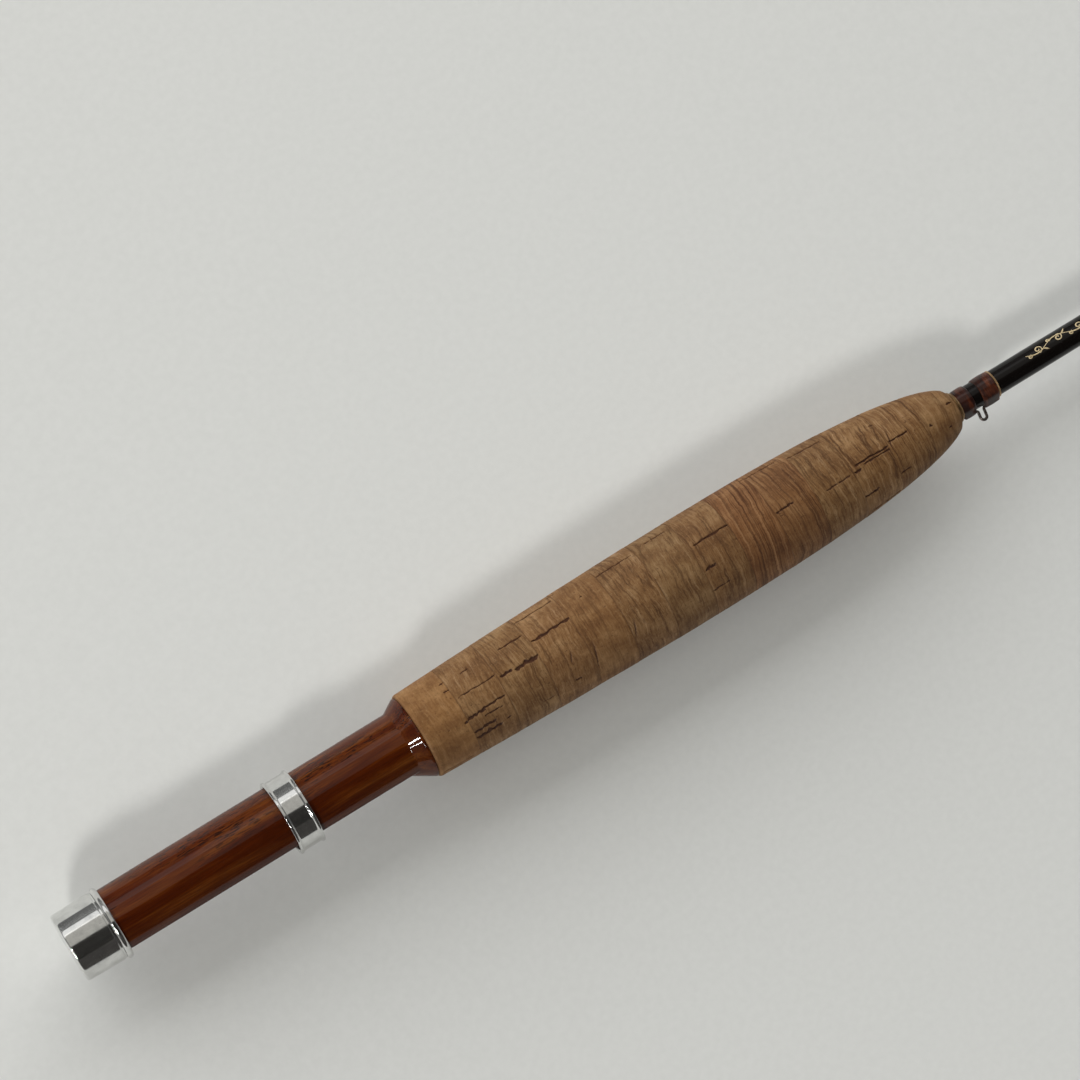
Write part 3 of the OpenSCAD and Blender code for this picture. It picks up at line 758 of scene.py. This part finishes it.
def make_scroll(x0, x1, proud):
    """A gold vine of waves and curls along the coat, which stands in for any lettering."""
    middle = math.radians(116)
    step = 6.6 * MM
    swing = 0.95 * MM
    strokes = []
    for i in range(int((x1 - x0 - 6 * MM) / step)):
        start, side = x0 + 2.2 * MM + i * step, (-1) ** i
        t = np.linspace(0, 1, 40)
        arch = np.sin(math.pi * t)
        strokes.append((start + t * step, side * swing * arch, 0.45 + 0.55 * arch))
        strokes.append(curl(start + 0.60 * step, side * 0.05 * MM, 1.25 * MM, side, 0.0))
        strokes.append(curl(start + 0.16 * step, side * 0.75 * MM, 0.62 * MM, -side, 0.6))
        leaf = np.linspace(0, 1, 22)
        strokes.append((start + (0.80 + 0.22 * leaf) * step, side * (0.6 + 0.95 * leaf ** 1.5) * MM,
                        0.3 + 0.9 * np.sin(math.pi * leaf)))
    parts = []
    for k, (x, s, weight) in enumerate(strokes):
        r = blank_r(x) + proud + 0.008 * MM
        angle = middle - s / r
        path = on_rod(x, angle, r)
        up = on_rod(0 * x, angle, 1 + 0 * x)
        parts.append(sweep(f"stroke_{k}", path, 0.17 * MM * weight, 0.03 * MM + 0 * x, up, sides=8))
    finish_piece(joined("gold_scroll", parts), BUTT, [], "thread_gold", scroll_gold())


def curl(x, s, size, side, first):
    """A stroke that winds in to (x, s): its points along and round the rod, and its weight."""
    turns = np.linspace(0, 2.6 * math.pi, 56)
    reach = (1 - turns / (3.1 * math.pi)) * size
    angle = turns - 0.5 * math.pi + first
    weight = 0.35 + 0.65 * np.sin(np.linspace(0.2, 2.9, 56))
    return x + reach * np.cos(angle), s - side * 0.9 * reach * np.sin(angle), weight


# ---- thread ----

def foot_bulge(a, core, distance, foot):
    """The radius of thread pulled tight round a core and a wire foot that lies on it."""
    a = np.abs((a + math.pi) % (2 * math.pi) - math.pi)
    tangent = np.arccos(np.clip((core - foot) / distance, -1, 1))
    start = np.arctan2(foot * np.sin(tangent), distance + foot * np.cos(tangent))
    straight = core / np.cos(np.clip(tangent - a, 0, 1.4))
    over = distance * np.cos(a) + np.sqrt(np.maximum(foot ** 2 - (distance * np.sin(a)) ** 2, 0))
    return np.where(a >= tangent, core, np.where(a > start, straight, over))


def wrap_skin(name, x0, x1, foot_r=0.0, foot_ends=(0.0, 0.0), belly=0.0):
    """Varnished thread from x0 to x1. foot_r is a wire foot's radius; foot_ends says how much of
    the wrap is free of the foot at each end, and belly how much thicker it is in the middle."""
    cover, pitch = 0.3 * MM, 0.2 * MM
    rows = max(24, int((x1 - x0) / pitch * 3))
    x = np.linspace(x0, x1, rows)[:, None]
    a = full_turn(96)[None, :]
    from_end = np.minimum(x - x0, x1 - x)
    rise = np.sqrt(np.clip(1 - (1 - np.clip(from_end / (0.55 * MM), 0, 1)) ** 2, 0, 1))
    thick = 0.25 * cover + 0.75 * cover * rise + belly * np.sin(math.pi * (x - x0) / (x1 - x0))
    ripple = 0.007 * MM * np.sin(2 * math.pi * x / pitch + a) * rise
    core = blank_r(x) + thick
    surface = core + 0 * a
    if foot_r:
        run = 0.9 * MM
        shown = ease((x - x0 - foot_ends[0]) / run + 0.5) * ease((x1 - foot_ends[1] - x) / run + 0.5)
        bulge = foot_bulge(a, core, blank_r(x) + foot_r, foot_r + thick)
        surface = core + (bulge - core) * shown
    inner = blank_r(np.array([[x1], [x0]])) - 0.05 * MM + 0 * a
    points = np.concatenate([on_rod(x, a, surface + ripple), on_rod(np.array([[x1], [x0]]), a, inner)])
    return skin(name, points)


def make_wrap(node, body, foot_r=0.0, free=0.0, **shape):
    """A node's wraps. free is how far each wrap runs past the foot's end. Where the node has two
    wraps, the feet point away from each other."""
    spans = islands(node)
    parts = []
    for k, (x0, x1) in enumerate(spans):
        ends = (free, 0.0) if k == 0 else (0.0, free)
        parts.append(wrap_skin(f"{node}_{k}", x0, x1, foot_r=foot_r, foot_ends=ends, **shape))
    piece = parts[0] if len(parts) == 1 else joined(node + "_thread", parts)
    piece.name = node + "_thread"
    finish_piece(piece, body, [node], "thread_brown")


def make_trims(node, body):
    """Three turns of gold thread for each of a node's trims."""
    turns, cover = 3, 0.32 * MM
    parts = []
    for k, (x0, x1) in enumerate(islands(node)):
        t = np.linspace(0, 1, turns * 8 + 1)
        beads = np.abs(np.sin(math.pi * turns * t)) ** 0.5
        outline = [(x, blank_r(x) + cover * (0.45 + 0.5 * bead))
                   for x, bead in zip(x0 + t * (x1 - x0), beads)]
        outline += [(x1, blank_r(x1) - 0.03 * MM), (x0, blank_r(x0) - 0.03 * MM)]
        parts.append(turn(f"{node}_{k}", outline, 72))
    piece = joined(node + "_thread", parts)
    finish_piece(piece, body, [node], "thread_gold")


# ---- hook keeper, winding check and ferrule ----

def make_winding_check():
    node = "winding_check"
    x0, x1 = ends_of(node)
    r = outer_radius(node, x0)
    bore = blank_r(x1) + 0.02 * MM
    outline = [(x0, bore), (x0, r), (x0 + 0.3 * MM, r - 0.02 * MM), (x1, r - 0.32 * MM), (x1, bore)]
    piece = turn("winding_check_turned", rounded(outline, 0.09 * MM), 128)
    finish_piece(piece, BUTT, [node], "brass_check")


def make_hook_keeper():
    """A wire loop that stands on the guide side, narrow and round at its crown."""
    node = "hook_keeper"
    low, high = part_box(node)
    points = node_points(node)
    height = towards(GUIDE, points)
    wire = towards(FACING, points).max()
    crown_x = points[height > height.max() - 0.3 * MM, 0].mean()
    middle = (low.x + high.x) / 2
    foot = blank_r(middle) + wire + 0.04 * MM
    top = height.max() - wire
    half = 0.92 * MM
    bend = 0.5 * MM
    path = [(low.x, foot)]
    path += [(middle - half - bend + bend * math.sin(t), foot + bend * (1 - math.cos(t)))
             for t in np.linspace(0, math.pi / 2, 9)]
    path += [(crown_x + half * math.cos(t), top - half + half * math.sin(t))
             for t in np.linspace(math.pi, 0, 25)]
    path += [(middle + half + bend - bend * math.sin(t), foot + bend * (1 - math.cos(t)))
             for t in np.linspace(math.pi / 2, 0, 9)]
    path += [(high.x, foot)]
    path = [Vector((x, 0, 0)) + GUIDE * g for x, g in path]
    widths = [wire] * len(path)
    heights = [wire * 0.6] + widths[1:-1] + [wire * 0.6]
    piece = sweep("hook_keeper_wire", path, widths, heights, [FACING] * len(path))
    finish_piece(piece, BUTT, [node], "dark_wire")


def make_spigot():
    node = "spigot"
    x0, x1 = ends_of(node)
    middle = ends_of("butt_blank")[1]
    outline = [(x0, 0), (x0, outer_radius(node, x0)), (middle, outer_radius(node, middle - MM)),
               (middle + 0.02 * MM, outer_radius(node, middle + MM), 0),
               (x1, outer_radius(node, x1), 0.5 * MM), (x1, 0)]
    piece = turn("spigot_turned", rounded(outline, 0.1 * MM), 64)
    finish_piece(piece, BUTT, [node], "raw_graphite")


# ---- line guides ----

def make_snake_guide(node, body):
    """A bent wire with two flattened feet that taper to their ends."""
    low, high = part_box(node)
    points = node_points(node)
    height = towards(GUIDE, points)
    sideways = towards(FACING, points)
    rear = points[:, 0] < low.x + 0.1 * MM
    wire = (height[rear].max() - height[rear].min()) / 2
    base = blank_r(low.x) + wire + 0.04 * MM
    rise, width = height.max() - wire - base, sideways.max() - wire
    middle, reach = (low.x + high.x) / 2, (high.x - low.x) / 2
    half = reach * 0.405
    foot = np.linspace(half, reach, 12)[1:]
    x = np.concatenate([-foot[::-1], np.linspace(-half, half, 49), foot])
    t = np.clip(x / half, -1, 1)
    sink = blank_r(middle + x) - blank_r(low.x)
    up = base + sink + rise * (1 + np.cos(math.pi * t)) / 2
    across = width * np.sin(math.pi * t)
    path = [Vector((middle + p, 0, 0)) + GUIDE * g + FACING * s for p, g, s in zip(x, up, across)]
    toe = ease((reach - np.abs(x)) / (reach - half))
    heights, widths = wire * (0.35 + 0.65 * toe), wire * (1.25 - 0.25 * toe)
    lowered = [p - GUIDE * (wire - h) for p, h in zip(path, heights)]
    piece = sweep(node + "_wire", lowered, widths, heights, [GUIDE] * len(path))
    finish_piece(piece, body, [node], "guide_wire")
    return wire


def make_stripping_guide():
    """A hard ring in a wire frame whose four legs run down to two feet."""
    ring_node, frame_node = "stripping_guide_ring", "stripping_guide_frame"
    centre = centre_of(ring_node)
    low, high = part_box(ring_node)
    half = (high.x - low.x) / 2
    points = node_points(ring_node) - np.array(centre)
    r = radii(points)
    bore, outer = r.min(), r.max()
    profile = [(half * math.cos(t) * 0.98, (bore + outer) / 2 - (outer - bore) / 2 * math.sin(t))
               for t in np.linspace(math.pi, 0, 17)]
    profile = [(half, outer), (-half, outer)] + profile
    profile = rounded([(x, q, 0 if q < outer else 0.15 * MM) for x, q in reversed(profile)], 0)
    piece = skin("stripping_ring_turned", revolved(profile, 72, centre))
    finish_piece(piece, BUTT, [ring_node], "ring_ceramic")

    points = node_points(frame_node)
    height = towards(GUIDE, points)
    shell = height.max() - centre.dot(GUIDE)
    brim, seat_r = half - 0.1 * MM, outer + 0.02 * MM
    hoop = [(brim, shell), (-brim, shell), (-brim, seat_r), (brim, seat_r)]
    parts = [skin("hoop", revolved(rounded(hoop, 0.28 * MM), 72, centre))]
    x0, x1 = ends_of(frame_node)
    foot_len = 9 * MM
    wire = 0.5 * MM
    spread = 0.17 * MM
    grip_angle, grip_r = math.radians(50), shell - 0.3 * MM
    for way, toe in ((-1, x0), (1, x1)):
        knee = toe - way * foot_len
        seat = blank_r(toe if way < 0 else knee) + wire + 0.04 * MM
        for side in (-1, 1):
            top = centre.dot(GUIDE) - grip_r * math.cos(grip_angle)
            out = side * grip_r * math.sin(grip_angle)
            t = np.linspace(0, 1, 30)
            x = knee + (centre.x + way * 0.2 * MM - knee) * t + way * 0.9 * MM * np.sin(math.pi * t)
            rise = seat + (top - seat) * t ** 1.15
            path = [AXIS * p + GUIDE * g + FACING * (out * s + side * spread) for p, g, s in zip(x, rise, t)]
            x_foot = np.linspace(toe, knee, 14)[:-1]
            foot = [AXIS * p + GUIDE * (seat - 0.1 * MM) + FACING * (side * spread) for p in x_foot]
            line = foot + path
            share = ease(np.array([min(1, abs(p.x - toe) / (6 * MM)) for p in line]))
            parts.append(sweep(f"leg_{way}_{side}", line, 0.33 * MM + 0 * share, wire * (0.4 + 0.4 * share),
                               [GUIDE] * len(line)))
    finish_piece(joined("stripping_guide_wire", parts), BUTT, [frame_node], "guide_wire")


def make_tip_top():
    """A tube over the blank's end, a wire loop for the line and two braces."""
    tube, loop = "tip_top_tube", "tip_top_loop"
    x0, x1 = ends_of(tube)
    r = outer_radius(tube, x0)
    bore = blank_r(x0) + 0.02 * MM
    body = [(x0, bore, 0.05 * MM), (x0, r, 0.15 * MM), (x1, r, 0.35 * MM), (x1, 0.3 * MM, 0.1 * MM),
            (x1 - 0.6 * MM, 0.3 * MM, 0.05 * MM), (x1 - 0.8 * MM, bore, 0.05 * MM)]
    piece = turn("tip_top_tube_turned", rounded(body, 0.1 * MM), 56)
    finish_piece(piece, TIP, [tube], "guide_wire")

    points = node_points(loop)
    height = towards(GUIDE, points)
    sideways = towards(FACING, points)
    wire = 0.42 * MM
    loop_r = sideways.max() - wire
    high = height > height.max() - 0.4 * MM
    rake = math.radians(15)
    centre_g = height.max() - wire - loop_r * math.cos(rake)
    centre_x = points[high, 0].mean() - loop_r * math.sin(rake)
    centre = Vector((centre_x, 0, 0)) + GUIDE * centre_g
    up = (GUIDE * math.cos(rake) + AXIS * math.sin(rake)).normalized()
    hoop = []
    for t in full_turn(56):
        radial = up * math.cos(t) + FACING * math.sin(t)
        along = radial.cross(up * -math.sin(t) + FACING * math.cos(t))
        hoop.append([centre + radial * (loop_r + wire * math.cos(s)) + along * (wire * math.sin(s))
                     for s in full_turn(16)])
    parts = [skin("hoop", np.array([[tuple(p) for p in row] for row in hoop]))]
    for side in (-1, 1):
        t = np.linspace(0, 1, 20)
        start = AXIS * (x0 + 5 * MM) + GUIDE * (r * 0.46) + FACING * (side * r * 0.60)
        end = centre + FACING * (side * loop_r)
        path = [start.lerp(end, share) for share in t]
        thick = wire * (0.5 + 0.25 * t)
        parts.append(sweep(f"brace_{side}", path, thick, thick, [GUIDE] * len(t)))
    finish_piece(joined("tip_top_loop_wire", parts), TIP, [loop], "guide_wire")


# ---- the whole rod ----

make_butt_cap()
make_slide_band()
make_seat_barrel()
for index, node in enumerate(CORKS):
    make_cork_ring(index, node)
make_winding_check()
make_blank("butt_blank", BUTT, wall=(0.85 * MM, 0.85 * MM))
make_blank("tip_blank", TIP, wall=(0.82 * MM, 0.45 * MM))
make_scroll(*make_clear_coat())
make_hook_keeper()
for node in ("keeper_wrap_rear", "keeper_wrap_front"):
    make_wrap(node, BUTT, foot_r=0.3 * MM, belly=0.12 * MM)
make_trims("keeper_trims", BUTT)
make_spigot()
make_stripping_guide()
make_wrap("stripping_guide_wraps", BUTT, foot_r=0.42 * MM, free=1.2 * MM)
for number in range(1, 8):
    body = BUTT if number == 1 else TIP
    wire = make_snake_guide(f"snake_guide_{number}", body)
    make_wrap(f"snake_wraps_{number}", body, foot_r=0.8 * wire, free=1.5 * MM)
make_wrap("butt_ferrule_wrap", BUTT)
for node in ("tip_ferrule_wrap", "tip_top_wrap"):
    make_wrap(node, TIP)
for node in ("butt_guide_trims", "butt_ferrule_trims"):
    make_trims(node, BUTT)
for node in ("tip_ferrule_trims", "tip_guide_trims", "tip_top_trim"):
    make_trims(node, TIP)
make_tip_top()
arbor_look = arbor_cork()
for material_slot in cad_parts["seat_arbors"].material_slots:
    material_slot.material = arbor_look


# ---- table, light and camera ----

def make_table():
    """A pale table that touches the grip's belly and the tip."""
    belly = max(CORKS, key=lambda n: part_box(n)[1].z)
    belly_x, belly_r = centre_of(belly).x, -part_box(belly)[0].z
    tip_x, tip_z = ends_of("tip_top_loop")[1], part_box("tip_top_loop")[0].z
    slope = (tip_z + belly_r) / (tip_x - belly_x)
    half = 9.0
    gap = 0.05 * MM
    corners = [(x, y, -belly_r - gap + slope * (x - belly_x)) for x, y in
               ((-half, -half), (half, -half), (half, half), (-half, half))]
    mesh = bpy.data.meshes.new("table")
    mesh.from_pydata(corners, [], [(0, 1, 2, 3)])
    table = add_object("table", mesh)
    m = Maker("table_paint")
    speck = m.noise(m.mapped((500, 500, 500)))
    paint = m.mix(m.span(speck, 0.3, 0.7), (0.700, 0.708, 0.690), (0.725, 0.733, 0.715))
    m.set(Base_Color=paint, Roughness=0.55)
    mesh.materials.append(m.material)


def aim(thing, place, target):
    thing.location = place
    thing.rotation_euler = (Vector(target) - Vector(place)).to_track_quat("-Z", "Y").to_euler()


def area_light(name, wide, tall, radiance, colour):
    """A rectangular light of even brightness, in metres and watts per square metre per steradian."""
    light = bpy.data.lights.new(name, "AREA")
    light.shape = "RECTANGLE"
    light.size, light.size_y = wide, tall
    light.energy = radiance * math.pi * wide * tall
    light.color = colour
    return add_object(name, light)


def make_lights():
    """A long window on the side away from the guides, a ceiling, and lamps behind the butt."""
    seat = Vector((0.1, 0, 0))
    panes = (("window_low", 0.21, 1.47, 0.80), ("window_high", 1.67, 3.24, 0.80),
             ("window_glow", 0.21, 3.24, 2.35))
    for name, low, high, radiance in panes:
        pane = area_light(name, 10.0, high - low, radiance, (1.0, 1.0, 0.99))
        place = Vector((0.9, 2.6, (low + high) / 2))
        aim(pane, place, place - Vector((0, 1, 0)))
        pane.visible_glossy = name != "window_glow"
    ceiling = area_light("ceiling", 5.0, 1.5, 0.34, (1.0, 0.97, 0.88))
    aim(ceiling, (0.9, 0.80, 1.7), (0.9, 0.80, 0))
    lamp = area_light("lamp", 0.42, 0.42, 49, (1.0, 0.985, 0.96))
    grip = Vector((0.12, 0, 0))
    aim(lamp, grip + Vector((-0.63, -0.45, 0.63)).normalized() * 2.7, grip)
    for across in (-0.11, -0.29):
        spot = area_light(f"small_lamp_{across}", 0.05, 0.05, 420, (1.0, 1.0, 1.0))
        aim(spot, seat + Vector((-0.805, across, 0.555)) * 1.9, seat)
        spot.visible_diffuse = False
    world = bpy.data.worlds.new("room")
    world.use_nodes = True
    background = world.node_tree.nodes["Background"]
    background.inputs["Color"].default_value = (0.80, 0.81, 0.80, 1)
    background.inputs["Strength"].default_value = 0.16
    bpy.context.scene.world = world


def make_dark_card():
    """Dark cards above and beside the guides' side, where a photographer stands. They show only
    in reflections."""
    height = 1.02
    corners = [(-0.9, 0.02, height), (1.3, 0.02, height), (1.3, -height, height), (-0.9, -height, height),
               (-0.9, -height, 0.02), (1.3, -height, 0.02)]
    mesh = bpy.data.meshes.new("dark_card")
    mesh.from_pydata(corners, [], [(0, 1, 2, 3), (3, 2, 5, 4)])
    card = add_object("dark_card", mesh)
    m = Maker("dark_card")
    cloud = m.noise(m.mapped((3, 3, 3)))
    m.set(Base_Color=m.mix(cloud, (0.012, 0.012, 0.014), (0.060, 0.055, 0.050)), Roughness=0.9)
    mesh.materials.append(m.material)
    card.visible_camera = card.visible_shadow = card.visible_diffuse = False


def make_camera():
    """It looks down on the rod, square to the guides' side, leaning towards the tip."""
    distance, behind_butt = 0.953, 0.028
    lean = math.radians(11.0)
    sideways = 0.027467
    roll = math.radians(31.15)
    place = AXIS * -behind_butt + FACING * distance
    forward = (-FACING * math.cos(lean) + AXIS * math.sin(lean) - GUIDE * sideways).normalized()
    along = (AXIS - forward * AXIS.dot(forward)).normalized()
    above = (-forward).cross(along)
    right = along * math.cos(roll) - above * math.sin(roll)
    up = along * math.sin(roll) + above * math.cos(roll)
    data = bpy.data.cameras.new("camera")
    data.sensor_width, data.lens = 36, 125
    data.clip_start, data.clip_end = 0.01, 60
    camera = add_object("camera", data)
    camera.matrix_world = Matrix((right, up, -forward)).transposed().to_4x4()
    camera.location = place
    bpy.context.scene.camera = camera


make_table()
make_lights()
make_dark_card()
make_camera()
bpy.context.scene.view_settings.view_transform = "Standard"
